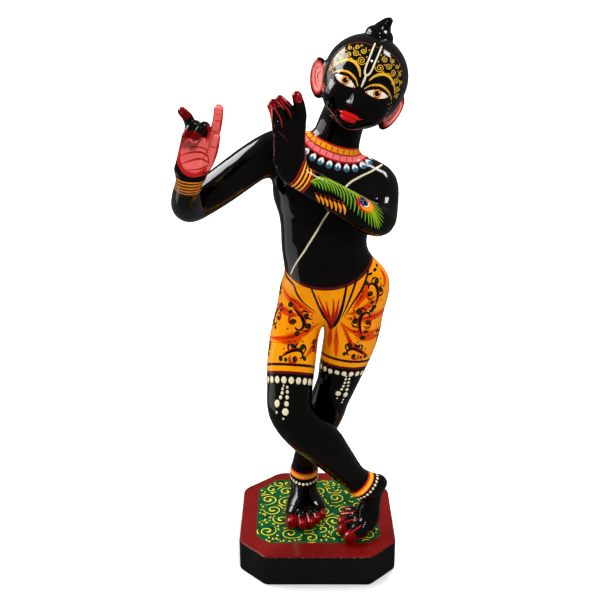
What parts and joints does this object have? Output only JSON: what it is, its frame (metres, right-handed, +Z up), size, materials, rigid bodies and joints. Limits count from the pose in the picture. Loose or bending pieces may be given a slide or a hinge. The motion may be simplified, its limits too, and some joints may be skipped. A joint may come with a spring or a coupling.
{
  "type": "krishna figure",
  "caption": "Painted standing figure in the threefold-bend pose, legs crossed and hands raised for a flute, on a low plinth with cut corners.",
  "frame": {"origin": "centre of the plinth's underside", "axes": "+Z up, +X towards the side of the figure's left arm, +Y to its back, so that it faces -Y"},
  "size_m": [0.1824, 0.136, 0.457],
  "materials": {
    "black_lacquer": "carved wood under black enamel with painted dress and jewellery and a thick clear gloss lacquer",
    "plinth_paint": "wooden board, its top painted red with a green panel of yellow scrolls and its sides black, semi-gloss"
  },
  "bodies": {
    "root": {"plinth": "plinth_paint", "figure": "black_lacquer"}
  },
  "joints": []
}
